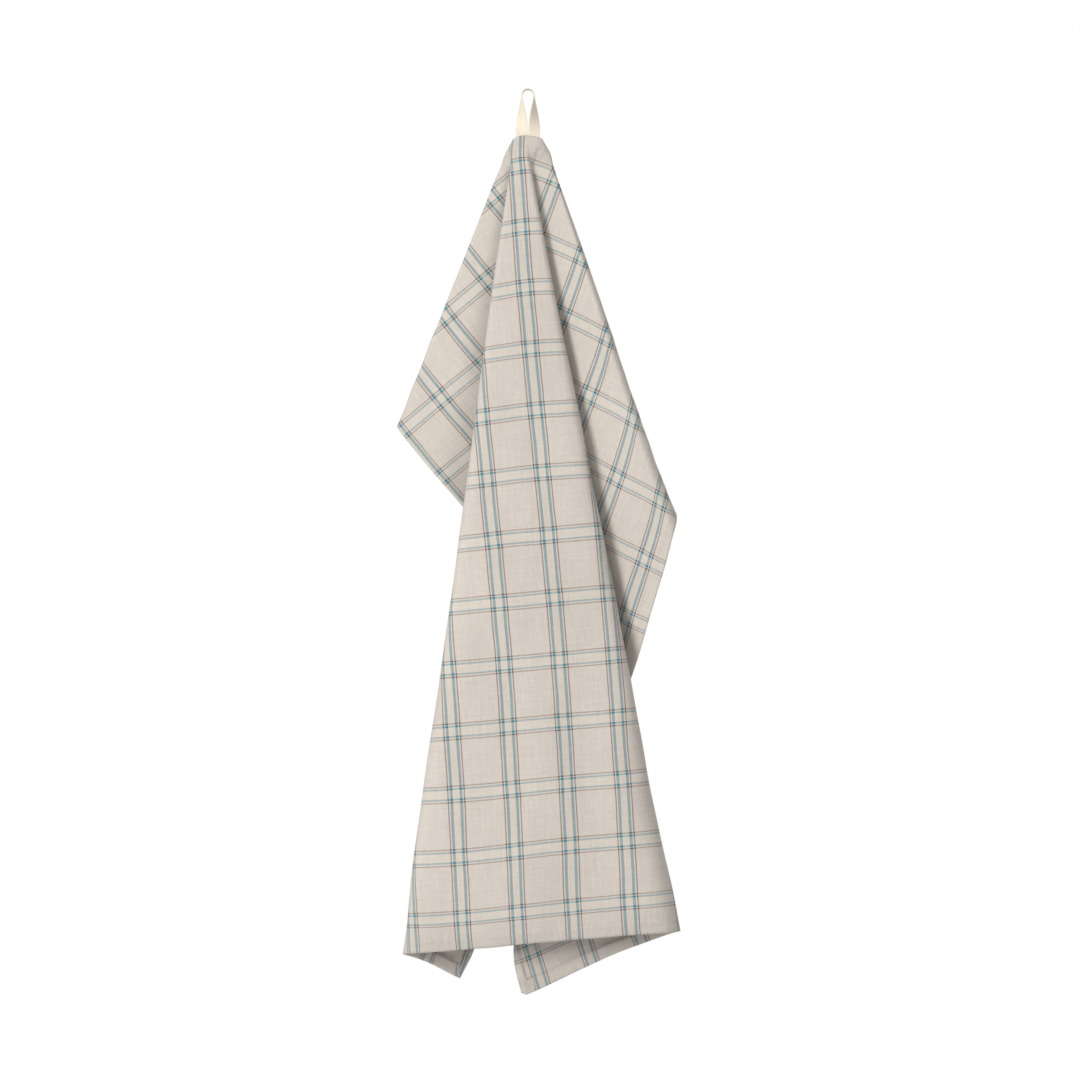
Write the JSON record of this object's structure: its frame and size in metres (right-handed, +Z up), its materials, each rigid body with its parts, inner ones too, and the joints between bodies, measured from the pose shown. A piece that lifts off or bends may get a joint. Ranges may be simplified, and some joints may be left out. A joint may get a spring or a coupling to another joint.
{
  "type": "tea towel",
  "caption": "Checked woven tea towel hanging in soft folds from a twisted cotton tape loop sewn to the middle of its short edge.",
  "frame": {"origin": "inside top of the hanging loop, where a hook or peg carries the towel", "axes": "+Z up along the hanging towel, +X to the right as seen from the front, +Y away from the viewer into the folds"},
  "size_m": [0.2481, 0.09, 0.7895],
  "materials": {
    "towel_cotton_linen": "plain weave of slubby beige cotton and linen yarns, with checks of fine teal and brown lines",
    "loop_tape": "unbleached cotton herringbone tape"
  },
  "bodies": {
    "root": {"towel_cloth": "towel_cotton_linen", "hanging_loop": "loop_tape"}
  },
  "joints": []
}
